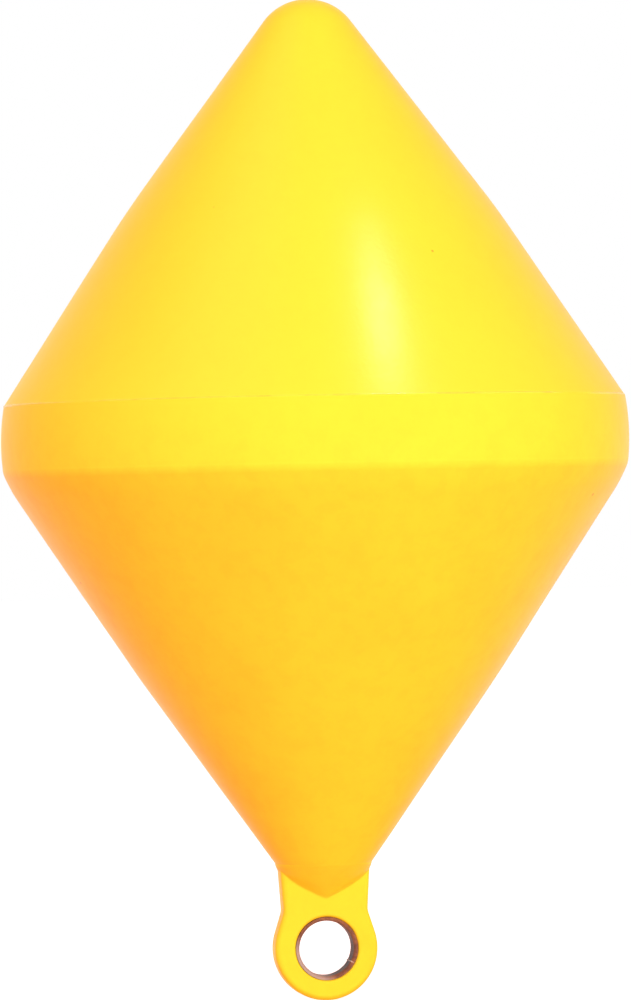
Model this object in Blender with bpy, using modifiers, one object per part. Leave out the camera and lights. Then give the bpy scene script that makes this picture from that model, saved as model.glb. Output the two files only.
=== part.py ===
"""A double-cone mooring marker buoy: a foam-filled moulded hull, its mooring lug with a steel eye liner, and a plug.

Metres, +Z up. The origin is on the hull's axis at the waterline, which is the lower edge of the waist band.
The lug's flat faces look along -Y and +Y, and its eye runs through along Y.
"""

import math

import bmesh
import bpy
from mathutils import Matrix, Vector

# Clearance between two pieces that touch.
GAP = 0.0003

# Hull, turned about Z: each size is a radius, or a height above or a depth below the waterline.
# Each cone is two straight runs, the steeper one next to the waist, with a long soft bend between them.
BAND_EDGE_RADIUS = 0.1979
BAND_HEIGHT = 0.0484
BAND_CROWN = 0.0021
TIP_HEIGHT = 0.3046
TIP_RADIUS = 0.0346
UPPER_BEND_RADIUS = 0.1178
UPPER_BEND_HEIGHT = 0.1702
LOWER_BEND_RADIUS = 0.1149
LOWER_BEND_DEPTH = 0.1262
BEND_BLEND = 0.600
UPPER_CREASE_BLEND = 0.003
LOWER_CREASE_BLEND = 0.065
LOWER_CONE_DEPTH = 0.2455
NECK_RADIUS = 0.0310

# Mooring lug, with its places given as depths below the neck.
LUG_THICKNESS = 0.0166
LUG_TOP_HALF_WIDTH = 0.0294
LUG_WAIST_HALF_WIDTH = 0.0272
LUG_WAIST_DEPTH = 0.0308
LUG_WAIST_BLEND = 0.010
LUG_EDGE_BLEND = 0.0022
SHOULDER_DEPTH = 0.0224
SHOULDER_FULL_WIDTH_DEPTH = 0.0076
SHOULDER_FOOT_HALF_WIDTH = 0.011
EYE_RADIUS = 0.0332
EYE_DEPTH = 0.0547

# Steel liner of the eye, and the rounded mouth that the lug has round it.
LINER_RADIUS = 0.020
LINER_WALL = 0.0025
LINER_EDGE = 0.0004
MOUTH_BLEND = 0.002

# Filler plug, square to the back of the lower cone.
PLUG_DEPTH = 0.100
PLUG_HEAD_RADIUS = 0.017
PLUG_HEAD_THICKNESS = 0.004
PLUG_HEAD_EDGE = 0.001
PLUG_SHANK_RADIUS = 0.012
PLUG_SHANK_LENGTH = 0.014
PLUG_STAND_PROUD = 0.0012
PLUG_KEY_WIDTH = 0.0095
PLUG_KEY_DEPTH = 0.0025

# Flats in a full turn, and in each arc of an outline.
TURN_STEPS = 72
BORE_STEPS = 56
PLUG_STEPS = 40
TIP_STEPS = 7
BAND_STEPS = 6
RING_STEPS = 14
BLEND_STEPS = 4
EDGE_STEPS = 3

# name: (colour, roughness, metallic)
FINISHES = {
    "lemon_polyethylene": ((0.98, 0.78, 0.05, 1), 0.45, 0.0),
    "golden_polyethylene": ((0.96, 0.64, 0.04, 1), 0.45, 0.0),
    "plug_plastic": ((0.90, 0.50, 0.04, 1), 0.6, 0.0),
    "rusted_steel": ((0.26, 0.15, 0.10, 1), 0.65, 0.8),
}


def clear_scene():
    for obj in list(bpy.data.objects):
        bpy.data.objects.remove(obj, do_unlink=True)


def new_collection(name):
    collection = bpy.data.collections.new(name)
    bpy.context.scene.collection.children.link(collection)
    return collection


def new_finish(name):
    colour, roughness, metallic = FINISHES[name]
    material = bpy.data.materials.new(name)
    material.use_nodes = True
    shader = material.node_tree.nodes["Principled BSDF"]
    shader.inputs["Base Color"].default_value = colour
    shader.inputs["Roughness"].default_value = roughness
    shader.inputs["Metallic"].default_value = metallic
    return material


def crowned(start, end, crown, steps):
    """Points after start, up to end, on the arc that stands proud of the straight line by crown at its middle."""
    chord = Vector(end) - Vector(start)
    half = chord.length / 2
    radius = (half * half + crown * crown) / (2 * crown)
    along = chord.normalized()
    outward = Vector((-along.y, along.x))
    centre = (Vector(start) + Vector(end)) / 2 - outward * (radius - crown)
    reach = math.asin(half / radius)
    turns = [-reach + 2 * reach * step / steps for step in range(1, steps)]
    return [tuple(centre + radius * (along * math.sin(turn) + outward * math.cos(turn))) for turn in turns] + [end]


def blended(corner, before, after, radius, steps):
    """The arc that rounds a corner between its two neighbours."""
    corner = Vector(corner)
    back = (Vector(before) - corner).normalized()
    on = (Vector(after) - corner).normalized()
    half_angle = back.angle(on) / 2
    start = corner + back * radius / math.tan(half_angle)
    centre = corner + (back + on).normalized() * radius / math.sin(half_angle)
    sweep = (start - centre).angle_signed(corner + on * radius / math.tan(half_angle) - centre)
    return [tuple(centre + Matrix.Rotation(-sweep * step / steps, 2) @ (start - centre)) for step in range(steps + 1)]


def hull_outline():
    """The hull's whole outer line as (radius, height), from the tip down to the neck."""
    upper_bend = (UPPER_BEND_RADIUS, UPPER_BEND_HEIGHT)
    upper_crease = (BAND_EDGE_RADIUS, BAND_HEIGHT)
    lower_crease = (BAND_EDGE_RADIUS, 0.0)
    lower_bend = (LOWER_BEND_RADIUS, -LOWER_BEND_DEPTH)
    neck = (NECK_RADIUS, -LOWER_CONE_DEPTH)

    # The tip is a ball. The cone leaves it where its line from the bend touches it.
    ball_centre = Vector((0, TIP_HEIGHT - TIP_RADIUS))
    to_bend = Vector(upper_bend) - ball_centre
    touch = math.atan2(to_bend.y, to_bend.x) + math.acos(TIP_RADIUS / to_bend.length)
    angles = [math.pi / 2 - (math.pi / 2 - touch) * step / TIP_STEPS for step in range(1, TIP_STEPS + 1)]
    tip = [(0.0, TIP_HEIGHT)]
    tip += [(TIP_RADIUS * math.cos(angle), ball_centre.y + TIP_RADIUS * math.sin(angle)) for angle in angles]

    band = crowned(upper_crease, lower_crease, BAND_CROWN, BAND_STEPS)
    band_head = blended(upper_crease, upper_bend, band[0], UPPER_CREASE_BLEND, EDGE_STEPS)
    band_foot = blended(lower_crease, band[-2], lower_bend, LOWER_CREASE_BLEND, BAND_STEPS)
    return (
        tip
        + blended(upper_bend, tip[-1], upper_crease, BEND_BLEND, BLEND_STEPS)
        + band_head
        + [point for point in band if band_foot[0][1] < point[1] < band_head[-1][1]]
        + band_foot
        + blended(lower_bend, lower_crease, neck, BEND_BLEND, BLEND_STEPS)
        + [neck]
    )


def radius_at(outline, height):
    """The outline's radius at a height."""
    for (r_above, z_above), (r_below, z_below) in zip(outline, outline[1:]):
        if z_below <= height <= z_above:
            return r_above + (r_below - r_above) * (z_above - height) / (z_above - z_below)
    raise ValueError(f"the hull doesn't reach height {height}")


def stretch_of(outline, top, bottom):
    """The part of the outline between two heights, closed to the axis with flat ends."""
    inside = [(radius, height) for radius, height in outline if bottom < height < top]
    if top < TIP_HEIGHT:
        inside = [(0.0, top), (radius_at(outline, top), top)] + inside
    return inside + [(radius_at(outline, bottom), bottom), (0.0, bottom)]


def mesh_object(name, mesh, collection, finish=None):
    obj = bpy.data.objects.new(name, mesh)
    collection.objects.link(obj)
    if finish:
        mesh.materials.clear()
        mesh.materials.append(finish)
        mesh.shade_smooth()
        mesh.set_sharp_from_angle(angle=math.radians(30))
    else:
        obj.hide_render = True
        obj.display_type = "WIRE"
    return obj


def turned(name, profile, steps, collection, finish=None, closed=False):
    """A profile of (radius, height), top to bottom down its outer side, turned about Z."""
    mesh = bpy.data.meshes.new(name)
    count = len(profile)
    edges = [(i, (i + 1) % count) for i in range(count if closed else count - 1)]
    mesh.from_pydata([(radius, 0.0, height) for radius, height in profile], edges, [])
    obj = mesh_object(name, mesh, collection, finish)
    screw = obj.modifiers.new("Turn", "SCREW")
    screw.steps = steps
    screw.render_steps = steps
    screw.use_merge_vertices = True
    screw.merge_threshold = 0.00001
    screw.use_smooth_shade = bool(finish)
    return obj


def cut(obj, cutter):
    boolean = obj.modifiers.new("Cut " + cutter.name, "BOOLEAN")
    boolean.operation = "DIFFERENCE"
    boolean.object = cutter


def along_y(obj, depth):
    """Lays a turned piece along the eye's line, at a depth below the neck."""
    obj.matrix_world = Matrix.Translation((0, 0, -LOWER_CONE_DEPTH - depth)) @ Matrix.Rotation(math.pi / 2, 4, "X")


def lug_outline():
    """The plate's outline as (x, height), right side from the top down to the eye's lowest point."""
    eye = Vector((0, -LOWER_CONE_DEPTH - EYE_DEPTH))
    top = (LUG_TOP_HALF_WIDTH, -LOWER_CONE_DEPTH - 2 * GAP)
    waist = (LUG_WAIST_HALF_WIDTH, -LOWER_CONE_DEPTH - LUG_WAIST_DEPTH)
    # Below the waist the side runs straight to where it touches the round of the eye.
    to_waist = Vector(waist) - eye
    touch = math.atan2(to_waist.y, to_waist.x) - math.acos(EYE_RADIUS / to_waist.length)
    turns = [touch + (-math.pi / 2 - touch) * step / RING_STEPS for step in range(RING_STEPS + 1)]
    ring = [tuple(eye + EYE_RADIUS * Vector((math.cos(turn), math.sin(turn)))) for turn in turns]
    return [top] + blended(waist, top, ring[0], LUG_WAIST_BLEND, BLEND_STEPS) + ring


def plate_mesh():
    """The lug's plate from a flat outline, with its edges rounded."""
    right = lug_outline()
    outline = right + [(-x, height) for x, height in reversed(right[:-1])]
    curve = bpy.data.curves.new("lug_outline", "CURVE")
    curve.dimensions = "2D"
    curve.fill_mode = "BOTH"
    curve.extrude = LUG_THICKNESS / 2
    spline = curve.splines.new("POLY")
    spline.points.add(len(outline) - 1)
    for point, place in zip(spline.points, outline):
        point.co = (*place, 0, 1)
    spline.use_cyclic_u = True
    flat = bpy.data.objects.new("lug_outline", curve)
    bpy.context.scene.collection.objects.link(flat)
    mesh = bpy.data.meshes.new_from_object(flat.evaluated_get(bpy.context.evaluated_depsgraph_get()))
    bpy.data.objects.remove(flat, do_unlink=True)
    form = bmesh.new()
    form.from_mesh(mesh)
    bmesh.ops.remove_doubles(form, verts=form.verts, dist=0.00001)
    bmesh.ops.dissolve_limit(form, angle_limit=0.001, verts=form.verts, edges=form.edges)
    bmesh.ops.rotate(form, cent=(0, 0, 0), matrix=Matrix.Rotation(math.pi / 2, 3, "X"), verts=form.verts)
    bmesh.ops.recalc_face_normals(form, faces=form.faces)
    rim = [edge for edge in form.edges if edge.calc_face_angle(0) > math.radians(60)]
    rim = [edge for edge in rim if abs(edge.verts[0].co.y - edge.verts[1].co.y) < LUG_THICKNESS / 2]
    bmesh.ops.bevel(
        form, geom=rim, offset=LUG_EDGE_BLEND, segments=EDGE_STEPS, profile=0.5, affect="EDGES", clamp_overlap=True
    )
    form.to_mesh(mesh)
    form.free()
    return mesh


def shoulder_mesh():
    """A loft of ellipses: a round neck, narrowing along Y to the plate and along X only below the full width."""
    slope = (NECK_RADIUS - LUG_THICKNESS / 2) / SHOULDER_DEPTH
    # (depth below the neck, half width along X)
    sections = (
        (GAP, NECK_RADIUS),
        (SHOULDER_FULL_WIDTH_DEPTH, LUG_TOP_HALF_WIDTH),
        (SHOULDER_DEPTH, SHOULDER_FOOT_HALF_WIDTH),
    )
    form = bmesh.new()
    rings = []
    for depth, half_width in sections:
        made = bmesh.ops.create_circle(form, cap_ends=False, segments=TURN_STEPS, radius=1)
        half_length = NECK_RADIUS - slope * depth
        place = Matrix.Translation((0, 0, -LOWER_CONE_DEPTH - depth))
        place = place @ Matrix.Diagonal((half_width, half_length, 1, 1))
        bmesh.ops.transform(form, matrix=place, verts=made["verts"])
        rings.append(made["verts"])
    form.verts.index_update()
    for upper, lower in zip(rings, rings[1:]):
        for i in range(TURN_STEPS):
            j = (i + 1) % TURN_STEPS
            form.faces.new((upper[i], lower[i], lower[j], upper[j]))
    form.faces.new(rings[0])
    form.faces.new(list(reversed(rings[-1])))
    bmesh.ops.recalc_face_normals(form, faces=form.faces)
    mesh = bpy.data.meshes.new("shoulder")
    form.to_mesh(mesh)
    form.free()
    return mesh


def eye_cutter(cutters):
    """The eye's bore with its rounded mouths, as one turned cutter that runs past both faces."""
    bore = LINER_RADIUS + GAP
    half = LUG_THICKNESS / 2
    mouth = bore + MOUTH_BLEND
    turns = [math.pi / 2 * step / BLEND_STEPS for step in range(BLEND_STEPS + 1)]
    lip = [
        (mouth - MOUTH_BLEND * math.sin(turn), half - MOUTH_BLEND + MOUTH_BLEND * math.cos(turn)) for turn in turns
    ]
    upper = [(mouth, half + MOUTH_BLEND)] + lip
    lower = [(radius, -height) for radius, height in reversed(upper)]
    profile = [(0.0, upper[0][1])] + upper + lower + [(0.0, lower[-1][1])]
    cutter = turned("eye_bore", profile, BORE_STEPS, cutters)
    along_y(cutter, EYE_DEPTH)
    return cutter


def make_hull(parts, cutters, finishes):
    outline = hull_outline()
    neck = -LOWER_CONE_DEPTH
    upper = stretch_of(outline, TIP_HEIGHT, BAND_HEIGHT + GAP / 2)
    band = stretch_of(outline, BAND_HEIGHT - GAP / 2, GAP / 2)
    lower = stretch_of(outline, -GAP / 2, neck)
    turned("upper_cone", [(0.0, TIP_HEIGHT)] + upper, TURN_STEPS, parts, finishes["lemon_polyethylene"])
    turned("waist_band", band, TURN_STEPS, parts, finishes["lemon_polyethylene"])
    lower_cone = turned("lower_cone", lower, TURN_STEPS, parts, finishes["golden_polyethylene"])
    make_plug(lower_cone, outline, parts, cutters, finishes["plug_plastic"])


def make_plug(lower_cone, outline, parts, cutters, finish):
    """The plug sits in a stepped hole square to the cone, at the back, with a square key hole in its head."""
    step = 0.002
    above = radius_at(outline, -PLUG_DEPTH + step)
    below = radius_at(outline, -PLUG_DEPTH - step)
    lean = math.atan2(above - below, 2 * step)
    seat = Vector((0, radius_at(outline, -PLUG_DEPTH), -PLUG_DEPTH))
    place = Matrix.Translation(seat) @ Matrix.Rotation(-math.pi / 2 - lean, 4, "X")
    head_top = PLUG_STAND_PROUD
    head_foot = head_top - PLUG_HEAD_THICKNESS
    shank_foot = head_foot - PLUG_SHANK_LENGTH
    plug = turned(
        "filler_plug",
        [
            (0.0, head_top),
            (PLUG_HEAD_RADIUS - PLUG_HEAD_EDGE, head_top),
            (PLUG_HEAD_RADIUS, head_top - PLUG_HEAD_EDGE),
            (PLUG_HEAD_RADIUS, head_foot),
            (PLUG_SHANK_RADIUS, head_foot),
            (PLUG_SHANK_RADIUS, shank_foot),
            (0.0, shank_foot),
        ],
        PLUG_STEPS,
        parts,
        finish,
    )
    plug.matrix_world = place
    hole = turned(
        "plug_hole",
        [
            (0.0, head_top + PLUG_HEAD_THICKNESS),
            (PLUG_HEAD_RADIUS + GAP, head_top + PLUG_HEAD_THICKNESS),
            (PLUG_HEAD_RADIUS + GAP, head_foot - GAP),
            (PLUG_SHANK_RADIUS + GAP, head_foot - GAP),
            (PLUG_SHANK_RADIUS + GAP, shank_foot - GAP),
            (0.0, shank_foot - GAP),
        ],
        PLUG_STEPS,
        cutters,
    )
    hole.matrix_world = place
    cut(lower_cone, hole)
    key_form = bmesh.new()
    bmesh.ops.create_cube(key_form, size=1)
    key_mesh = bpy.data.meshes.new("plug_key")
    size = Matrix.Diagonal((PLUG_KEY_WIDTH, PLUG_KEY_WIDTH, 2 * PLUG_KEY_DEPTH, 1))
    bmesh.ops.transform(key_form, matrix=Matrix.Translation((0, 0, head_top)) @ size, verts=key_form.verts)
    key_form.to_mesh(key_mesh)
    key_form.free()
    key = mesh_object("plug_key", key_mesh, cutters)
    key.matrix_world = place
    cut(plug, key)


def make_lug(parts, cutters, finish):
    lug = mesh_object("mooring_lug", plate_mesh(), parts, finish)
    shoulder = mesh_object("shoulder", shoulder_mesh(), cutters)
    join = lug.modifiers.new("Join shoulder", "BOOLEAN")
    join.operation = "UNION"
    join.object = shoulder
    cut(lug, eye_cutter(cutters))


def make_liner(parts, finish):
    inner = LINER_RADIUS - LINER_WALL
    half = LUG_THICKNESS / 2
    profile = [
        (inner + LINER_EDGE, half),
        (LINER_RADIUS - LINER_EDGE, half),
        (LINER_RADIUS, half - LINER_EDGE),
        (LINER_RADIUS, LINER_EDGE - half),
        (LINER_RADIUS - LINER_EDGE, -half),
        (inner + LINER_EDGE, -half),
        (inner, LINER_EDGE - half),
        (inner, half - LINER_EDGE),
    ]
    liner = turned("eye_liner", profile, BORE_STEPS, parts, finish, closed=True)
    along_y(liner, EYE_DEPTH)


def main():
    clear_scene()
    parts = new_collection("mooring_marker_buoy")
    cutters = new_collection("cutters")
    finishes = {name: new_finish(name) for name in FINISHES}
    make_hull(parts, cutters, finishes)
    make_lug(parts, cutters, finishes["golden_polyethylene"])
    make_liner(parts, finishes["rusted_steel"])


main()
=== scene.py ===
import math

import bmesh
import bpy
from mathutils import Matrix, Vector


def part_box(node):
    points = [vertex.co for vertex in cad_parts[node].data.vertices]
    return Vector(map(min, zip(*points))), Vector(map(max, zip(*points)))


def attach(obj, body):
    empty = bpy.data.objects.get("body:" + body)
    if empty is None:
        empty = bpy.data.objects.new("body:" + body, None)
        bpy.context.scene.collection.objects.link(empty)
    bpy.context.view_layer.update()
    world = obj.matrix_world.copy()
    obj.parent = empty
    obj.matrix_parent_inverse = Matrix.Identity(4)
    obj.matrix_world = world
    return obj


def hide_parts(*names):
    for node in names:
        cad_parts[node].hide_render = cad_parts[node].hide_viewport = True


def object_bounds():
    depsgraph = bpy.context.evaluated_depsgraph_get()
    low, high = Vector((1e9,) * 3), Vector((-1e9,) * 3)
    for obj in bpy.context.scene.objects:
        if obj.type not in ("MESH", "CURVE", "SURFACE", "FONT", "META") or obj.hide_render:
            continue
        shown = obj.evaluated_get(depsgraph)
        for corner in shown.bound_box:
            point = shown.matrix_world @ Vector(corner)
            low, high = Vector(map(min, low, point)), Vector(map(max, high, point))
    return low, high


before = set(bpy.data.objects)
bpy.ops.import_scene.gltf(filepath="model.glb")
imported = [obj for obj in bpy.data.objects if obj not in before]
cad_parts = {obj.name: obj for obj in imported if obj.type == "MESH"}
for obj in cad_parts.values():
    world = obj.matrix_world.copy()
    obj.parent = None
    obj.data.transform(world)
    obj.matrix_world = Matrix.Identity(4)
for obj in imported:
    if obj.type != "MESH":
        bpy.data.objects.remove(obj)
cad_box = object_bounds()

# ---------------------------------------------------------------------------
# Sizes, in metres. The frame gives the main ones, and the rest are the moulding's own.
# ---------------------------------------------------------------------------

MM = 0.001

tip_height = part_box("upper_cone")[1].z
band_top = (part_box("upper_cone")[0].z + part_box("waist_band")[1].z) / 2
band_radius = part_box("waist_band")[1].x
neck_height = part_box("lower_cone")[0].z
liner_low, liner_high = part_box("eye_liner")
eye = (liner_low + liner_high) / 2
lug_thickness = liner_high.y - liner_low.y
liner_radius = (liner_high.x - liner_low.x) / 2
eye_ring_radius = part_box("mooring_lug")[1].x

BAND_TOP_INSET = 2.1 * MM
BAND_CROWN = 1.6 * MM
TIP_RADIUS = 34.6 * MM
UPPER_BEND = (117.8 * MM, 170.2 * MM)
LOWER_BEND = (114.9 * MM, -126.2 * MM)
BEND_BLEND = 600 * MM
UPPER_CREASE_BLEND = 3 * MM
# The band turns under in two steps: a firm one to a short leaning skirt, and a soft one to the cone.
SKIRT_HEAD = (198.9 * MM, 5.0 * MM)
SKIRT_FOOT = (193.1 * MM, -7.0 * MM)
SKIRT_HEAD_BLEND = 18 * MM
SKIRT_FOOT_BLEND = 84 * MM
NECK_RADIUS = 31.0 * MM

LUG_TOP_HALF_WIDTH = 29.4 * MM
LUG_WAIST_HALF_WIDTH = 27.2 * MM
LUG_WAIST_DEPTH = 30.8 * MM
LUG_WAIST_BLEND = 10 * MM
LUG_EDGE_BLEND = 3.4 * MM
SHOULDER_DEPTH = 22.4 * MM
SHOULDER_FOOT_HALF_WIDTH = 3.5 * MM
SHOULDER_NARROWING = 1.8
MOUTH_BLEND = 2 * MM
LINER_WALL = 2.5 * MM
LINER_NOSE = 3.2 * MM
PLUG_DEPTH = 100 * MM
PLUG_HEAD_RADIUS = 17 * MM
PLUG_HEAD_THICKNESS = 4 * MM
PLUG_STAND_PROUD = 1.2 * MM
PLUG_KEY_WIDTH = 9.5 * MM
PLUG_KEY_DEPTH = 2.5 * MM
FLASH_RADIUS = 0.8 * MM
FLASH_SINK = 0.75 * MM
FLASH_UNEVENNESS = 0.25 * MM
FLASH_STEPS = 480
FLASH_BEAD_STEPS = 12

SKIN_COLUMNS = 288
SKIN_LONGEST_ROW = 3.2 * MM
SKIN_WANDER = 0.9 * MM
SKIN_WANDER_SIZE = 85 * MM
PLUG_COLUMNS = 96
LINER_COLUMNS = 128
LUG_VOXEL = 0.55 * MM
WELD_RIPPLES = 13
WELD_RIPPLE_SIZE = Vector((1.3, 0.9, 0.55)) * MM
WELD_SINK = 1.1 * MM

# The eye's line runs along Y. An angle round it is counted up from +X, seen from the front.
EYE_PLACE = Matrix.Translation(eye) @ Matrix.Rotation(math.pi / 2, 4, "X")
WELD_ANGLE = -29


# ---------------------------------------------------------------------------
# Small tools for meshes, node trees and colours
# ---------------------------------------------------------------------------


def linear(hex_colour):
    """An sRGB hex colour as linear red, green, blue and alpha."""
    channels = [int(hex_colour[i : i + 2], 16) / 255 for i in (1, 3, 5)]
    return [c / 12.92 if c <= 0.04045 else ((c + 0.055) / 1.055) ** 2.4 for c in channels] + [1.0]


def add_node(tree, kind, links=None, values=None, **settings):
    """Adds a node, with its settings, its unlinked input values, and its links as input: output socket."""
    node = tree.nodes.new(kind)
    for name, value in settings.items():
        setattr(node, name, value)
    for key, value in (values or {}).items():
        node.inputs[key].default_value = value
    for key, socket in (links or {}).items():
        tree.links.new(socket, node.inputs[key])
    return node


def mesh_from(form, name):
    mesh = bpy.data.meshes.new(name)
    form.to_mesh(mesh)
    form.free()
    return mesh


def place_piece(mesh, name, material=None, sharp_above=35):
    """A finished piece: its object sits at the origin, and its place is in its mesh."""
    piece = bpy.data.objects.new(name, mesh)
    bpy.context.scene.collection.objects.link(piece)
    if material:
        mesh.materials.clear()
        mesh.materials.append(material)
    mesh.shade_smooth()
    mesh.set_sharp_from_angle(angle=math.radians(sharp_above))
    return piece


def evaluated_mesh(obj):
    graph = bpy.context.evaluated_depsgraph_get()
    return bpy.data.meshes.new_from_object(obj.evaluated_get(graph))


def grown(source, tree, inputs, name, material, place=None):
    """Runs a node tree on a source mesh, and keeps the result as a plain piece."""
    host = bpy.data.objects.new(name + "_source", source)
    bpy.context.scene.collection.objects.link(host)
    modifier = host.modifiers.new("Grow", "NODES")
    modifier.node_group = tree
    sockets = {item.name: item.identifier for item in tree.interface.items_tree if item.in_out == "INPUT"}
    for key, value in {**inputs, "Material": material}.items():
        modifier[sockets[key]] = value
    mesh = evaluated_mesh(host)
    bpy.data.objects.remove(host, do_unlink=True)
    if place:
        mesh.transform(place)
    return place_piece(mesh, name, material)


def line_mesh(points, name):
    mesh = bpy.data.meshes.new(name)
    mesh.from_pydata(points, [(i, i + 1) for i in range(len(points) - 1)], [])
    return mesh


# ---------------------------------------------------------------------------
# Outlines: (radius, height), from the top down the outer side
# ---------------------------------------------------------------------------


def crowned(start, end, crown, steps):
    """Points after start, up to end, on the arc that stands proud of the chord by crown at its middle."""
    chord = Vector(end) - Vector(start)
    half = chord.length / 2
    radius = (half * half + crown * crown) / (2 * crown)
    along = chord.normalized()
    outward = Vector((-along.y, along.x))
    centre = (Vector(start) + Vector(end)) / 2 - outward * (radius - crown)
    reach = math.asin(half / radius)
    turns = [-reach + 2 * reach * step / steps for step in range(1, steps)]
    arc = [centre + radius * (along * math.sin(turn) + outward * math.cos(turn)) for turn in turns]
    return [tuple(point) for point in arc] + [end]


def blended(corner, before, after, radius, steps):
    """The arc that rounds a corner between its two neighbours."""
    corner = Vector(corner)
    back = (Vector(before) - corner).normalized()
    on = (Vector(after) - corner).normalized()
    half_angle = back.angle(on) / 2
    start = corner + back * radius / math.tan(half_angle)
    centre = corner + (back + on).normalized() * radius / math.sin(half_angle)
    sweep = (start - centre).angle_signed(corner + on * radius / math.tan(half_angle) - centre)
    turns = [Matrix.Rotation(-sweep * step / steps, 2) for step in range(steps + 1)]
    return [tuple(centre + turn @ (start - centre)) for turn in turns]


def filled_in(points, longest):
    """The same line with its long stretches divided, so that no stretch is longer than this."""
    dense = [points[0]]
    for before, after in zip(points, points[1:]):
        count = max(1, math.ceil((Vector(after) - Vector(before)).length / longest))
        dense += [tuple(Vector(before).lerp(Vector(after), step / count)) for step in range(1, count + 1)]
    return dense


def hull_outline():
    """The hull's outer line, from the tip down to the neck."""
    neck = (NECK_RADIUS, neck_height)
    upper_crease = (band_radius - BAND_TOP_INSET, band_top)
    band = crowned(upper_crease, SKIRT_HEAD, BAND_CROWN, 40)
    band_head = blended(upper_crease, UPPER_BEND, band[0], UPPER_CREASE_BLEND, 8)
    skirt_head = blended(SKIRT_HEAD, band[-2], SKIRT_FOOT, SKIRT_HEAD_BLEND, 12)

    ball_centre = Vector((0, tip_height - TIP_RADIUS))
    to_bend = Vector(UPPER_BEND) - ball_centre
    touch = math.atan2(to_bend.y, to_bend.x) + math.acos(TIP_RADIUS / to_bend.length)
    tip_steps = 20
    angles = [math.pi / 2 - (math.pi / 2 - touch) * step / tip_steps for step in range(tip_steps + 1)]
    tip = [(TIP_RADIUS * math.cos(angle), ball_centre.y + TIP_RADIUS * math.sin(angle)) for angle in angles]
    tip[0] = (0.0, tip_height)

    return (
        tip
        + blended(UPPER_BEND, tip[-1], upper_crease, BEND_BLEND, 10)
        + band_head
        + [point for point in band if skirt_head[0][1] < point[1] < band_head[-1][1]]
        + skirt_head
        + blended(SKIRT_FOOT, SKIRT_HEAD, LOWER_BEND, SKIRT_FOOT_BLEND, 16)
        + blended(LOWER_BEND, SKIRT_FOOT, neck, BEND_BLEND, 10)
        + [neck]
    )


def split_outline(outline, height):
    """The outline's two parts above and below a height, each closed to the axis with a flat."""
    for i, (upper, lower) in enumerate(zip(outline, outline[1:])):
        if lower[1] < height <= upper[1]:
            share = (upper[1] - height) / (upper[1] - lower[1])
            rim = (upper[0] + (lower[0] - upper[0]) * share, height)
            return outline[: i + 1] + [rim, (0.0, height)], [(0.0, height), rim] + outline[i + 1 :]
    raise ValueError(f"the outline doesn't cross height {height}")


# ---------------------------------------------------------------------------
# Node trees that grow pieces
# ---------------------------------------------------------------------------


def new_tree(name, inputs):
    """A geometry tree with a geometry in and out, and named inputs given as (name, socket type)."""
    tree = bpy.data.node_groups.new(name, "GeometryNodeTree")
    tree.interface.new_socket("Geometry", in_out="OUTPUT", socket_type="NodeSocketGeometry")
    for socket, kind in [("Geometry", "NodeSocketGeometry"), *inputs, ("Material", "NodeSocketMaterial")]:
        tree.interface.new_socket(socket, in_out="INPUT", socket_type=kind)
    return tree, add_node(tree, "NodeGroupInput").outputs


def end_tree(tree, geometry, given):
    realized = add_node(tree, "GeometryNodeRealizeInstances", {"Geometry": geometry})
    finished = add_node(
        tree, "GeometryNodeSetMaterial", {"Geometry": realized.outputs[0], "Material": given["Material"]}
    )
    add_node(tree, "NodeGroupOutput", {"Geometry": finished.outputs[0]})


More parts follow.
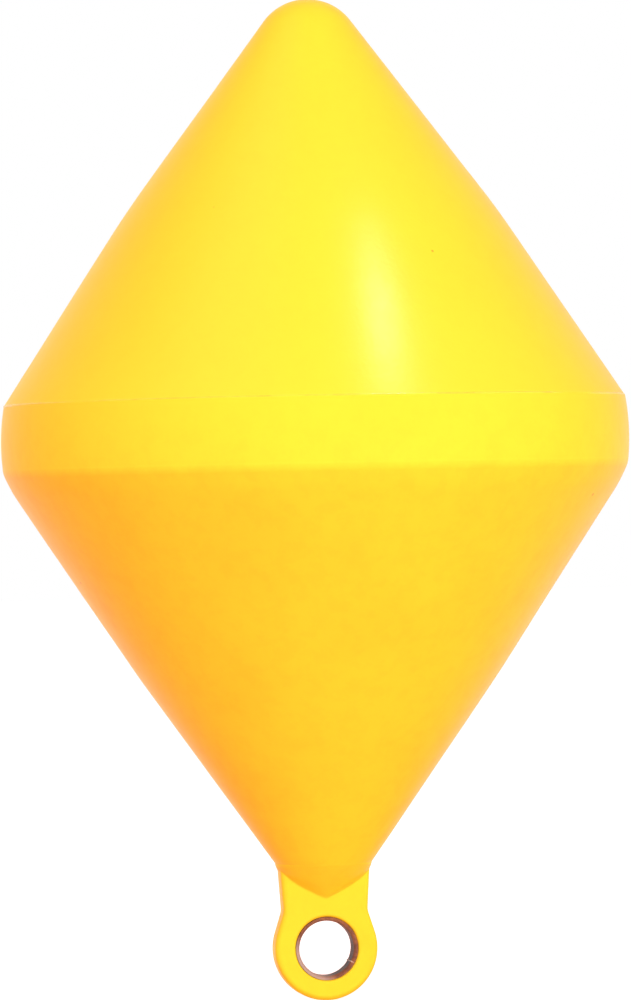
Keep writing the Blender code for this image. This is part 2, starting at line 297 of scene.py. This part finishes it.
def turning_tree():
    """Turns a line of (radius, 0, height) points about Z, and lets its surface wander a little.

    A moulded wall is never quite true, and the wander shows in how it catches the light.
    """
    tree, given = new_tree(
        "Turned skin",
        [
            ("Columns", "NodeSocketInt"),
            ("Wander", "NodeSocketFloat"),
            ("Wander Size", "NodeSocketFloat"),
            ("Seed", "NodeSocketFloat"),
        ],
    )
    size = add_node(tree, "GeometryNodeAttributeDomainSize", {"Geometry": given["Geometry"]})
    rows = size.outputs["Point Count"]
    across = add_node(tree, "FunctionNodeIntegerMath", {0: given["Columns"]}, {1: 1}, operation="ADD")
    sheet = add_node(
        tree, "GeometryNodeMeshGrid", {"Vertices X": across.outputs[0], "Vertices Y": rows}
    )
    index = add_node(tree, "GeometryNodeInputIndex").outputs[0]
    row = add_node(tree, "FunctionNodeIntegerMath", {0: index, 1: rows}, operation="MODULO")
    column = add_node(tree, "FunctionNodeIntegerMath", {0: index, 1: rows}, operation="DIVIDE_FLOOR")
    position = add_node(tree, "GeometryNodeInputPosition").outputs[0]
    sample = add_node(
        tree,
        "GeometryNodeSampleIndex",
        {"Geometry": given["Geometry"], "Value": position, "Index": row.outputs[0]},
        data_type="FLOAT_VECTOR",
    )
    share = add_node(tree, "ShaderNodeMath", {0: column.outputs[0], 1: given["Columns"]}, operation="DIVIDE")
    # The turn is clockwise, so that the faces of a line drawn from the top down look outwards.
    angle = add_node(tree, "ShaderNodeMath", {0: share.outputs[0]}, {1: -2 * math.pi}, operation="MULTIPLY")
    spun = add_node(
        tree,
        "ShaderNodeVectorRotate",
        {"Vector": sample.outputs[0], "Angle": angle.outputs[0]},
        rotation_type="Z_AXIS",
    )
    wrapped = add_node(
        tree, "GeometryNodeSetPosition", {"Geometry": sheet.outputs["Mesh"], "Position": spun.outputs[0]}
    )
    closed = add_node(
        tree, "GeometryNodeMergeByDistance", {"Geometry": wrapped.outputs[0]}, {"Distance": 0.002 * MM}
    )
    scaled = add_node(
        tree, "ShaderNodeVectorMath", {0: position, 1: given["Wander Size"]}, operation="DIVIDE"
    )
    noise = add_node(
        tree,
        "ShaderNodeTexNoise",
        {"Vector": scaled.outputs[0], "W": given["Seed"]},
        {"Scale": 1.0, "Detail": 1.5},
        noise_dimensions="4D",
    )
    centred = add_node(tree, "ShaderNodeMath", {0: noise.outputs[0]}, {1: 0.5}, operation="SUBTRACT")
    height = add_node(
        tree, "ShaderNodeMath", {0: centred.outputs[0], 1: given["Wander"]}, operation="MULTIPLY"
    )
    normal = add_node(tree, "GeometryNodeInputNormal").outputs[0]
    offset = add_node(
        tree, "ShaderNodeVectorMath", {0: normal, "Scale": height.outputs[0]}, operation="SCALE"
    )
    wandering = add_node(
        tree, "GeometryNodeSetPosition", {"Geometry": closed.outputs[0], "Offset": offset.outputs[0]}
    )
    end_tree(tree, wandering.outputs[0], given)
    return tree


def flash_tree():
    """A thin bead of squeezed-out plastic swept round a level ring, uneven along its length."""
    tree, given = new_tree(
        "Parting flash",
        [
            ("Ring Radius", "NodeSocketFloat"),
            ("Height", "NodeSocketFloat"),
            ("Bead Radius", "NodeSocketFloat"),
            ("Unevenness", "NodeSocketFloat"),
            ("Seed", "NodeSocketFloat"),
        ],
    )
    ring = add_node(
        tree,
        "GeometryNodeCurvePrimitiveCircle",
        {"Radius": given["Ring Radius"]},
        {"Resolution": FLASH_STEPS},
    )
    raised = add_node(tree, "ShaderNodeCombineXYZ", {"Z": given["Height"]})
    lifted = add_node(
        tree, "GeometryNodeSetPosition", {"Geometry": ring.outputs[0], "Offset": raised.outputs[0]}
    )
    bead = add_node(
        tree,
        "GeometryNodeCurvePrimitiveCircle",
        {"Radius": given["Bead Radius"]},
        {"Resolution": FLASH_BEAD_STEPS},
    )
    swept = add_node(
        tree, "GeometryNodeCurveToMesh", {"Curve": lifted.outputs[0], "Profile Curve": bead.outputs[0]}
    )
    position = add_node(tree, "GeometryNodeInputPosition").outputs[0]
    noise = add_node(
        tree,
        "ShaderNodeTexNoise",
        {"Vector": position, "W": given["Seed"]},
        {"Scale": 40.0, "Detail": 2.0},
        noise_dimensions="4D",
    )
    centred = add_node(tree, "ShaderNodeMath", {0: noise.outputs[0]}, {1: 0.5}, operation="SUBTRACT")
    height = add_node(
        tree, "ShaderNodeMath", {0: centred.outputs[0], 1: given["Unevenness"]}, operation="MULTIPLY"
    )
    normal = add_node(tree, "GeometryNodeInputNormal").outputs[0]
    offset = add_node(
        tree, "ShaderNodeVectorMath", {0: normal, "Scale": height.outputs[0]}, operation="SCALE"
    )
    uneven = add_node(
        tree, "GeometryNodeSetPosition", {"Geometry": swept.outputs[0], "Offset": offset.outputs[0]}
    )
    end_tree(tree, uneven.outputs[0], given)
    return tree


def weld_tree():
    """A straight weld bead along Y: a row of flattened, overlapping ripples."""
    tree, given = new_tree(
        "Weld bead",
        [
            ("Start", "NodeSocketVector"),
            ("Step", "NodeSocketVector"),
            ("Ripples", "NodeSocketInt"),
            ("Ripple Size", "NodeSocketVector"),
            ("Lean", "NodeSocketFloat"),
        ],
    )
    row = add_node(
        tree,
        "GeometryNodeMeshLine",
        {"Count": given["Ripples"], "Start Location": given["Start"], "Offset": given["Step"]},
        mode="OFFSET",
    )
    ripple = add_node(tree, "GeometryNodeMeshIcoSphere", values={"Radius": 1.0, "Subdivisions": 3})
    lean = add_node(tree, "ShaderNodeCombineXYZ", {"Y": given["Lean"]})
    placed = add_node(
        tree,
        "GeometryNodeInstanceOnPoints",
        {
            "Points": row.outputs[0],
            "Instance": ripple.outputs[0],
            "Rotation": lean.outputs[0],
            "Scale": given["Ripple Size"],
        },
    )
    end_tree(tree, placed.outputs[0], given)
    return tree


# ---------------------------------------------------------------------------
# Materials
# ---------------------------------------------------------------------------


def new_material(name):
    material = bpy.data.materials.new(name)
    material.use_nodes = True
    tree = material.node_tree
    return material, tree, tree.nodes["Principled BSDF"]


def object_coordinates(tree):
    return add_node(tree, "ShaderNodeTexCoord").outputs["Object"]


def mixed(tree, factor, first, second):
    """A colour mix of two colours or sockets by a factor socket or number."""
    node = add_node(tree, "ShaderNodeMix", data_type="RGBA")
    for key, value in ((0, factor), (6, first), (7, second)):
        if hasattr(value, "is_output"):
            tree.links.new(value, node.inputs[key])
        else:
            node.inputs[key].default_value = value
    return node.outputs[2]


def ranged(tree, value, low, high, to_low=0.0, to_high=1.0, smooth=True):
    """A value brought from one range to another, and held inside it."""
    return add_node(
        tree,
        "ShaderNodeMapRange",
        {"Value": value},
        {"From Min": low, "From Max": high, "To Min": to_low, "To Max": to_high},
        interpolation_type="SMOOTHSTEP" if smooth else "LINEAR",
    ).outputs[0]


def specked(tree, place, colour, size, share, ink):
    """Sparse small dirt specks, one in a share of the cells of a loose grid."""
    scaled = add_node(
        tree, "ShaderNodeVectorMath", {0: place}, {"Scale": 1 / size}, operation="SCALE"
    ).outputs[0]
    cells = add_node(
        tree, "ShaderNodeTexVoronoi", {"Vector": scaled}, {"Scale": 1.0, "Randomness": 1.0}
    ).outputs
    dot = ranged(tree, cells["Distance"], 0.05, 0.035)
    pick = add_node(tree, "ShaderNodeSeparateColor", {0: cells["Color"]}).outputs["Red"]
    chosen = ranged(tree, pick, share, share - 0.01, smooth=False)
    strength = add_node(tree, "ShaderNodeMath", {0: dot, 1: chosen}, operation="MULTIPLY").outputs[0]
    faint = add_node(tree, "ShaderNodeMath", {0: strength}, {1: 0.5}, operation="MULTIPLY").outputs[0]
    return mixed(tree, faint, colour, linear(ink))


def polyethylene(name, lit_lemon, band, shaded_golden, stain):
    """Rotomoulded polyethylene, coloured through: a soft waxy skin with a faint orange peel.

    Its colour is painted light and shade: a paler yellow where it faces up, a deeper yellow where it faces
    down.
    The water has left a few stains.
    """
    material, tree, shader = new_material(name)
    place = object_coordinates(tree)
    facing = add_node(
        tree, "ShaderNodeSeparateXYZ", {0: add_node(tree, "ShaderNodeNewGeometry").outputs["Normal"]}
    ).outputs["Z"]
    # Painted light and shade: faces that look up are painted a paler yellow, and faces that look down a
    # deeper, shaded yellow.
    colour = mixed(tree, ranged(tree, facing, -0.54, -0.04), linear(shaded_golden), linear(band))
    colour = mixed(tree, ranged(tree, facing, 0.05, 0.45), colour, linear(lit_lemon))

    # Broad clouds of stain about 60 mm across, and finer mottling inside them about 10 mm across.
    clouds = add_node(
        tree, "ShaderNodeTexNoise", {"Vector": place}, {"Scale": 16.0, "Detail": 3.0, "Roughness": 0.55}
    ).outputs[0]
    mottle = add_node(
        tree, "ShaderNodeTexNoise", {"Vector": place}, {"Scale": 95.0, "Detail": 4.0, "Roughness": 0.65}
    ).outputs[0]
    both = add_node(
        tree,
        "ShaderNodeMath",
        {0: ranged(tree, clouds, 0.42, 0.68), 1: ranged(tree, mottle, 0.40, 0.66)},
        operation="ADD",
    ).outputs[0]
    downward = ranged(tree, facing, 0.30, -0.45, 0.02, 0.09)
    stained = add_node(tree, "ShaderNodeMath", {0: both, 1: downward}, operation="MULTIPLY").outputs[0]
    colour = mixed(tree, stained, colour, linear(stain))
    colour = specked(tree, place, colour, 26 * MM, 0.12, "#a4551c")
    tree.links.new(colour, shader.inputs["Base Color"])
    shader.inputs["IOR"].default_value = 1.51
    # A chalked outdoor skin mirrors far less than a fresh one.
    shader.inputs["Specular IOR Level"].default_value = 0.05
    rough = ranged(tree, mottle, 0.35, 0.65, 0.31, 0.33)
    tree.links.new(rough, shader.inputs["Roughness"])

    # Orange peel about 2 mm across, from the mould's blasted wall.
    peel = add_node(
        tree, "ShaderNodeTexNoise", {"Vector": place}, {"Scale": 420.0, "Detail": 2.0, "Roughness": 0.5}
    ).outputs[0]
    bump = add_node(tree, "ShaderNodeBump", {"Height": peel}, {"Strength": 0.12, "Distance": 0.6 * MM})
    tree.links.new(bump.outputs[0], shader.inputs["Normal"])
    return material


def flash_plastic():
    """The bead squeezed out at the parting line: the hull's own plastic, but smooth and still shiny."""
    material, tree, shader = new_material("Glossy polyethylene flash")
    shade = add_node(
        tree, "ShaderNodeTexNoise", {"Vector": object_coordinates(tree)}, {"Scale": 60.0, "Detail": 3.0}
    ).outputs[0]
    colour = mixed(tree, ranged(tree, shade, 0.40, 0.65), linear("#fcec3c"), linear("#f6dc38"))
    tree.links.new(colour, shader.inputs["Base Color"])
    shader.inputs["Roughness"].default_value = 0.24
    shader.inputs["Specular IOR Level"].default_value = 0.35
    return material


def plug_plastic():
    """Injection-moulded plastic: a duller, deeper yellow than the hull, with a fine spark-eroded texture."""
    material, tree, shader = new_material("Moulded plug plastic")
    place = object_coordinates(tree)
    stains = add_node(
        tree, "ShaderNodeTexNoise", {"Vector": place}, {"Scale": 90.0, "Detail": 4.0, "Roughness": 0.6}
    ).outputs[0]
    colour = mixed(tree, ranged(tree, stains, 0.40, 0.70), linear("#e3a32a"), linear("#c98a24"))
    tree.links.new(colour, shader.inputs["Base Color"])
    shader.inputs["Roughness"].default_value = 0.58
    grain = add_node(
        tree, "ShaderNodeTexNoise", {"Vector": place}, {"Scale": 1500.0, "Detail": 1.0}
    ).outputs[0]
    bump = add_node(tree, "ShaderNodeBump", {"Height": grain}, {"Strength": 0.2, "Distance": 0.4 * MM})
    tree.links.new(bump.outputs[0], shader.inputs["Normal"])
    return material


def rusted_steel():
    """Mild steel tube: brown rust on its ends, a bore painted dark as shade, and paler metal on the lower
    left, a painted pool of light where the bore faces the lamps.
    """
    material, tree, shader = new_material("Rusted steel tube")
    place = object_coordinates(tree)
    patches = add_node(
        tree, "ShaderNodeTexNoise", {"Vector": place}, {"Scale": 220.0, "Detail": 5.0, "Roughness": 0.65}
    ).outputs[0]
    along = add_node(tree, "ShaderNodeSeparateXYZ", {0: place}).outputs["Y"]
    deep = add_node(tree, "ShaderNodeMath", {0: along}, operation="ABSOLUTE").outputs[0]
    at_end = ranged(tree, deep, lug_thickness / 2 - 4.5 * MM, lug_thickness / 2 - 0.5 * MM)
    rust = mixed(tree, ranged(tree, patches, 0.40, 0.62), linear("#9a6a48"), linear("#74503f"))
    # Painted shade: the bore is painted dark away from the tube's ends.
    bore = mixed(tree, ranged(tree, patches, 0.38, 0.64), linear("#3b3230"), linear("#5a504c"))
    colour = mixed(tree, at_end, bore, rust)

    # Painted light: the lower left of the bore, which faces the lamps, is painted paler.
    lit_side = Vector((-0.74, 0.0, -0.67))
    reach = add_node(
        tree, "ShaderNodeVectorMath", {0: place}, {1: lit_side}, operation="DOT_PRODUCT"
    ).outputs["Value"]
    centre = eye.dot(lit_side)
    painted_light = ranged(tree, reach, centre + 6 * MM, centre + 17 * MM, 0.0, 0.85)
    colour = mixed(tree, painted_light, colour, linear("#b9b0a6"))
    tree.links.new(colour, shader.inputs["Base Color"])
    shader.inputs["Metallic"].default_value = 0.12
    shader.inputs["Roughness"].default_value = 0.60
    bump = add_node(tree, "ShaderNodeBump", {"Height": patches}, {"Strength": 0.4, "Distance": 0.6 * MM})
    tree.links.new(bump.outputs[0], shader.inputs["Normal"])
    return material


def weld_steel_with_painted_highlight():
    """Weld steel, pale partly as bare metal and partly as a painted highlight along the bead, with a little
    rust left between its ripples.
    """
    material, tree, shader = new_material("Weld steel with painted highlight")
    grains = add_node(
        tree, "ShaderNodeTexNoise", {"Vector": object_coordinates(tree)}, {"Scale": 500.0, "Detail": 3.0}
    ).outputs[0]
    colour = mixed(tree, ranged(tree, grains, 0.45, 0.65), linear("#dccbbd"), linear("#a8836c"))
    tree.links.new(colour, shader.inputs["Base Color"])
    shader.inputs["Metallic"].default_value = 0.5
    shader.inputs["Roughness"].default_value = 0.45
    return material


# ---------------------------------------------------------------------------
# The hull: two turned skins that meet at the parting line
# ---------------------------------------------------------------------------


def make_hull(turning, material):
    above, below = split_outline(filled_in(hull_outline(), SKIN_LONGEST_ROW), band_top)
    below = below + [(0.0, neck_height)]
    shape = {"Columns": SKIN_COLUMNS, "Wander": SKIN_WANDER, "Wander Size": SKIN_WANDER_SIZE}
    skins = []
    for name, outline, seed in (("upper_skin", above, 3.0), ("lower_skin", below, 7.0)):
        source = line_mesh([(radius, 0.0, height) for radius, height in outline], name)
        skins.append(grown(source, turning, {**shape, "Seed": seed}, name, material))
    return skins


def make_flash(material):
    """The bead along the parting line, where the mould's two halves met."""
    source = line_mesh([(0, 0, 0), (0, 0, 0)], "flash_source")
    shape = {
        "Ring Radius": band_radius - BAND_TOP_INSET - FLASH_SINK,
        "Height": band_top,
        "Bead Radius": FLASH_RADIUS,
        "Unevenness": FLASH_UNEVENNESS,
        "Seed": 5.0,
    }
    return grown(source, flash_tree(), shape, "parting_flash", material)


# ---------------------------------------------------------------------------
# The filler plug at the back, in its own recess
# ---------------------------------------------------------------------------


def plug_place():
    """The plug's seat: its origin is on the cone's surface, and its +Z leans out square to the cone."""
    lean = math.atan2(SKIRT_FOOT[0] - LOWER_BEND[0], SKIRT_FOOT[1] - LOWER_BEND[1])
    share = (-PLUG_DEPTH - LOWER_BEND[1]) / (SKIRT_FOOT[1] - LOWER_BEND[1])
    radius = LOWER_BEND[0] + share * (SKIRT_FOOT[0] - LOWER_BEND[0])
    return Matrix.Translation((0, radius, -PLUG_DEPTH)) @ Matrix.Rotation(-math.pi / 2 - lean, 4, "X")


def turned_tool(turning, profile, name, place):
    source = line_mesh([(radius, 0.0, height) for radius, height in profile], name)
    shape = {"Columns": PLUG_COLUMNS, "Wander": 0.0, "Wander Size": 1.0, "Seed": 0.0}
    return grown(source, turning, shape, name, None, place)


def carve(piece, cutters):
    """Cuts closed forms out of a piece, and removes them."""
    for cutter in cutters:
        modifier = piece.modifiers.new(cutter.name, "BOOLEAN")
        modifier.operation = "DIFFERENCE"
        modifier.object = cutter
    mesh = evaluated_mesh(piece)
    piece.modifiers.clear()
    piece.data = mesh
    for cutter in cutters:
        bpy.data.objects.remove(cutter, do_unlink=True)


def make_plug(turning, lower_skin, material):
    """A flat round head with a raised rim and a square key hole, and the recess that it sits in."""
    place = plug_place()
    top = PLUG_STAND_PROUD
    foot = top - PLUG_HEAD_THICKNESS
    dish = top - 0.5 * MM
    rim = PLUG_HEAD_RADIUS - 2.4 * MM
    edge = 0.8 * MM
    head = [
        (0.0, dish),
        (rim - edge, dish),
        (rim, top),
        (PLUG_HEAD_RADIUS - edge, top),
        (PLUG_HEAD_RADIUS - edge * 0.3, top - edge * 0.3),
        (PLUG_HEAD_RADIUS, top - edge),
        (PLUG_HEAD_RADIUS, foot),
        (0.0, foot),
    ]
    source = line_mesh([(radius, 0.0, height) for radius, height in filled_in(head, 1.5 * MM)], "plug_head")
    shape = {"Columns": PLUG_COLUMNS, "Wander": 0.1 * MM, "Wander Size": 8 * MM, "Seed": 2.0}
    plug = grown(source, turning, shape, "plug_head", material, place)
    key_form = bmesh.new()
    bmesh.ops.create_cube(key_form, size=1)
    size = Matrix.Diagonal((PLUG_KEY_WIDTH, PLUG_KEY_WIDTH, 2 * PLUG_KEY_DEPTH, 1))
    bmesh.ops.transform(key_form, matrix=place @ Matrix.Translation((0, 0, top)) @ size, verts=key_form.verts)
    carve(plug, [place_piece(mesh_from(key_form, "plug_key"), "plug_key")])

    wall = PLUG_HEAD_RADIUS + 0.5 * MM
    recess = [(0.0, top + 6 * MM), (wall, top + 6 * MM), (wall, foot + 0.4 * MM), (0.0, foot + 0.4 * MM)]
    carve(lower_skin, [turned_tool(turning, recess, "plug_recess", place)])
    lower_skin.data.shade_smooth()
    lower_skin.data.set_sharp_from_angle(angle=math.radians(35))
    return plug


# ---------------------------------------------------------------------------
# The mooring lug
# ---------------------------------------------------------------------------


def lug_outline():
    """The plate's outline as (x, height), right side from the top down to the eye's lowest point."""
    middle = Vector((0, eye.z))
    top = (LUG_TOP_HALF_WIDTH, neck_height + LUG_EDGE_BLEND)
    waist = (LUG_WAIST_HALF_WIDTH, neck_height - LUG_WAIST_DEPTH)
    # Below the waist the side runs straight to where it touches the round of the eye.
    to_waist = Vector(waist) - middle
    touch = math.atan2(to_waist.y, to_waist.x) - math.acos(eye_ring_radius / to_waist.length)
    steps = 48
    turns = [touch + (-math.pi / 2 - touch) * step / steps for step in range(steps + 1)]
    ring = [tuple(middle + eye_ring_radius * Vector((math.cos(turn), math.sin(turn)))) for turn in turns]
    return [top] + blended(waist, top, ring[0], LUG_WAIST_BLEND, 8) + ring


def plate_form():
    right = lug_outline()
    outline = right + [(-x, height) for x, height in reversed(right[:-1])]
    form = bmesh.new()
    front = form.faces.new([form.verts.new((x, -lug_thickness / 2, height)) for x, height in outline])
    moved = bmesh.ops.extrude_face_region(form, geom=[front])
    back = [item for item in moved["geom"] if isinstance(item, bmesh.types.BMVert)]
    bmesh.ops.translate(form, verts=back, vec=(0, lug_thickness, 0))
    bmesh.ops.recalc_face_normals(form, faces=form.faces)
    rim = [edge for edge in form.edges if abs(edge.verts[0].co.y - edge.verts[1].co.y) < lug_thickness / 2]
    bmesh.ops.bevel(form, geom=rim, offset=LUG_EDGE_BLEND, segments=5, profile=0.5, affect="EDGES")
    return form


def shoulder_form():
    """A loft of ellipses from the round neck to the plate, narrowing ever faster along X to a near point."""
    slope = (NECK_RADIUS - lug_thickness / 2) / SHOULDER_DEPTH
    count = 96
    steps = 16
    form = bmesh.new()
    rings = []
    for _ in range(steps + 2):
        rings.append(bmesh.ops.create_circle(form, cap_ends=False, segments=count, radius=1)["verts"])
    for step, ring in enumerate(rings, start=-1):
        depth = SHOULDER_DEPTH * step / steps
        share = max(step, 0) / steps
        half_width = NECK_RADIUS - (NECK_RADIUS - SHOULDER_FOOT_HALF_WIDTH) * share**SHOULDER_NARROWING
        half_length = NECK_RADIUS - slope * max(depth, 0)
        lowered = Matrix.Translation((0, 0, neck_height - depth))
        narrowed = Matrix.Diagonal((half_width, half_length, 1, 1))
        bmesh.ops.transform(form, matrix=lowered @ narrowed, verts=ring)
    for upper, lower in zip(rings, rings[1:]):
        for i in range(count):
            j = (i + 1) % count
            form.faces.new((upper[i], lower[i], lower[j], upper[j]))
    form.faces.new(rings[0])
    form.faces.new(list(reversed(rings[-1])))
    bmesh.ops.recalc_face_normals(form, faces=form.faces)
    return form


def bore_cutter(turning):
    """The eye's bore with its rounded mouths, running past both faces."""
    bore = liner_radius + 0.05 * MM
    half = lug_thickness / 2
    mouth = bore + MOUTH_BLEND
    turns = [math.pi / 2 * i / 10 for i in range(11)]
    lip = [
        (mouth - MOUTH_BLEND * math.sin(turn), half - MOUTH_BLEND + MOUTH_BLEND * math.cos(turn))
        for turn in turns
    ]
    upper = [(0.0, half + 4 * MM), (mouth, half + 4 * MM)] + lip
    profile = upper + [(radius, -height) for radius, height in reversed(upper)]
    return turned_tool(turning, profile, "bore_cutter", EYE_PLACE)


def make_lug(turning, material):
    plate = place_piece(mesh_from(plate_form(), "plate"), "plate")
    shoulder = place_piece(mesh_from(shoulder_form(), "shoulder"), "shoulder")
    cutter = bore_cutter(turning)
    for other, operation in ((shoulder, "UNION"), (cutter, "DIFFERENCE")):
        modifier = plate.modifiers.new(operation, "BOOLEAN")
        modifier.operation = operation
        modifier.object = other
    remesh = plate.modifiers.new("Even out", "REMESH")
    remesh.mode = "VOXEL"
    remesh.voxel_size = LUG_VOXEL
    soften = plate.modifiers.new("Soften", "SMOOTH")
    soften.factor = 0.5
    soften.iterations = 6
    mesh = evaluated_mesh(plate)
    for obj in (plate, shoulder, cutter):
        bpy.data.objects.remove(obj, do_unlink=True)
    return place_piece(mesh, "lug_skin", material, sharp_above=180)


# ---------------------------------------------------------------------------
# The eye's steel liner
# ---------------------------------------------------------------------------


def make_liner(turning, material):
    """A length of steel tube whose ends are dressed round, from the bore out to the plastic."""
    inner = liner_radius - LINER_WALL
    half = lug_thickness / 2 - 0.2 * MM
    turns = [math.pi / 2 * i / 8 for i in range(9)]
    nose = [
        (liner_radius - LINER_WALL * math.cos(turn), half - LINER_NOSE + LINER_NOSE * math.sin(turn))
        for turn in turns
    ]
    bore = [(radius, -height) for radius, height in reversed(nose)] + nose
    profile = filled_in([(liner_radius, half), (liner_radius, -half)] + bore[1:], 1.0 * MM)
    source = line_mesh([(radius, 0.0, height) for radius, height in profile], "liner")
    shape = {"Columns": LINER_COLUMNS, "Wander": 0.25 * MM, "Wander Size": 6 * MM, "Seed": 11.0}
    return grown(source, turning, shape, "liner_tube", material, EYE_PLACE)


def make_weld(material):
    """The tube's seam weld, a worn bead along its bore that ends on the tube's front rim."""
    turn = math.radians(WELD_ANGLE)
    inner = liner_radius - LINER_WALL
    side = Vector((math.cos(turn), 0, math.sin(turn))) * (inner + WELD_SINK)
    half = lug_thickness / 2 - 1.0 * MM
    shape = {
        "Start": eye + side - Vector((0, half, 0)),
        "Step": Vector((0, 2 * half / (WELD_RIPPLES - 1), 0)),
        "Ripples": WELD_RIPPLES,
        "Ripple Size": WELD_RIPPLE_SIZE,
        "Lean": -turn,
    }
    source = line_mesh([(0, 0, 0), (0, 0, 0)], "weld_source")
    return grown(source, weld_tree(), shape, "liner_weld", material)


# ---------------------------------------------------------------------------
# Camera, floor and light
# ---------------------------------------------------------------------------

CAMERA_AZIMUTH = math.radians(-10)
CAMERA_DISTANCE = 3.5
CAMERA_HEIGHT = -0.0115
CAMERA_LENS = 197.6
CAMERA_ROLL = math.radians(1.14)
CAMERA_SHIFT = (-0.0005, -0.005)

# The fill is warm, because light that has passed through the skin comes back deeper in colour.
FILL_COLOUR = [0.98, 0.41, 0.38, 1]
WHITE = [1, 1, 1, 1]
FLOOR_DROP = 1 * MM
FLOOR_SIZE = 14
FLOOR_GLOW = 0.75


def bearing(azimuth, elevation):
    """The unit direction from the buoy out to something at this azimuth and elevation."""
    flat = math.cos(elevation)
    return Vector((math.sin(azimuth) * flat, -math.cos(azimuth) * flat, math.sin(elevation)))


def make_camera():
    data = bpy.data.cameras.new("camera")
    data.sensor_width = 36.0
    data.lens = CAMERA_LENS
    data.shift_x, data.shift_y = CAMERA_SHIFT
    data.clip_end = 50
    camera = bpy.data.objects.new("camera", data)
    bpy.context.scene.collection.objects.link(camera)
    back = bearing(CAMERA_AZIMUTH, 0)
    turn = (-back).to_track_quat("-Z", "Y").to_matrix().to_4x4() @ Matrix.Rotation(-CAMERA_ROLL, 4, "Z")
    camera.matrix_world = Matrix.Translation(back * CAMERA_DISTANCE + Vector((0, 0, CAMERA_HEIGHT))) @ turn
    bpy.context.scene.camera = camera


def make_light(name, azimuth, elevation, distance, size, power, aim=Vector((0, 0, 0))):
    """A white panel aimed at a point, at an azimuth measured from the camera's."""
    data = bpy.data.lights.new(name, "AREA")
    data.shape = "RECTANGLE"
    data.size, data.size_y = size
    data.energy = power
    lamp = bpy.data.objects.new(name, data)
    bpy.context.scene.collection.objects.link(lamp)
    out = bearing(CAMERA_AZIMUTH + math.radians(azimuth), math.radians(elevation))
    facing = out.to_track_quat("Z", "Y").to_matrix().to_4x4()
    lamp.matrix_world = Matrix.Translation(aim + out * distance) @ facing
    return lamp


def seen_directly(tree):
    """1 for what the camera sees, straight or in gloss or glass, and 0 for light falling on the buoy."""
    path = add_node(tree, "ShaderNodeLightPath").outputs
    first = add_node(
        tree, "ShaderNodeMath", {0: path["Is Camera Ray"], 1: path["Is Glossy Ray"]}, operation="MAXIMUM"
    )
    return add_node(
        tree, "ShaderNodeMath", {0: first.outputs[0], 1: path["Is Transmission Ray"]}, operation="MAXIMUM"
    ).outputs[0]


def make_surroundings():
    world = bpy.data.worlds.new("studio")
    bpy.context.scene.world = world
    world.use_nodes = True
    tree = world.node_tree
    background = tree.nodes["Background"]
    colour = mixed(tree, seen_directly(tree), FILL_COLOUR, WHITE)
    tree.links.new(colour, background.inputs["Color"])

    form = bmesh.new()
    bmesh.ops.create_grid(form, x_segments=1, y_segments=1, size=FLOOR_SIZE)
    bmesh.ops.translate(form, verts=form.verts, vec=(0, 0, cad_box[0].z - FLOOR_DROP))
    floor = place_piece(mesh_from(form, "floor"), "floor")
    material, tree, shader = new_material("Pale studio floor")
    shader.inputs["Base Color"].default_value = linear("#eeeeee")
    shader.inputs["Roughness"].default_value = 0.9
    shader.inputs["Specular IOR Level"].default_value = 0.0
    glow = add_node(tree, "ShaderNodeMath", {0: seen_directly(tree)}, {1: FLOOR_GLOW}, operation="MULTIPLY")
    shader.inputs["Emission Color"].default_value = WHITE
    tree.links.new(glow.outputs[0], shader.inputs["Emission Strength"])
    floor.data.materials.append(material)


def make_lights():
    # Two broad panels light the hull, and add no highlight of their own.
    for panel in (
        make_light("panel_front_right", 24, 0, 2.6, (1.1, 0.62), 37),
        make_light("fill_high_left", -60, 60, 2.4, (1.4, 1.4), 16.5),
    ):
        panel.visible_glossy = False
    # A small one close by gives only the soft oval highlight on the upper cone.
    on_cone = bearing(CAMERA_AZIMUTH + math.radians(15), 0) * 0.160 + Vector((0, 0, 0.105))
    highlight = make_light("highlight_on_cone", 50, 62, 0.3, (0.05, 0.05), 1.4, on_cone)
    highlight.visible_diffuse = False
    highlight.visible_camera = False


# ---------------------------------------------------------------------------
# The buoy
# ---------------------------------------------------------------------------


def main():
    bpy.context.scene.view_settings.view_transform = "Standard"
    make_camera()
    make_surroundings()
    make_lights()

    turning = turning_tree()
    # The skin's three yellows, from top to bottom, are painted light and shade by facing.
    skin = polyethylene("Rotomoulded polyethylene", "#fcec3c", "#faea3a", "#f6d530", "#f0a428")
    plug_skin = plug_plastic()
    steel = rusted_steel()

    upper, lower = make_hull(turning, skin)
    lug = make_lug(turning, skin)
    liner = make_liner(turning, steel)
    flash = make_flash(flash_plastic())
    weld = make_weld(weld_steel_with_painted_highlight())
    plug = make_plug(turning, lower, plug_skin)
    for piece, nodes, slot in (
        (upper, ["upper_cone"], "upper_skin"),
        (lower, ["waist_band", "lower_cone"], "lower_skin"),
        (lug, ["mooring_lug"], "lower_skin"),
        (liner, ["eye_liner"], "liner_steel"),
        (plug, ["filler_plug"], "plug_plastic"),
        (flash, [], "upper_skin"),
        (weld, [], "liner_steel"),
    ):
        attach(piece, "root")
        if nodes:
            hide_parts(*nodes)


main()
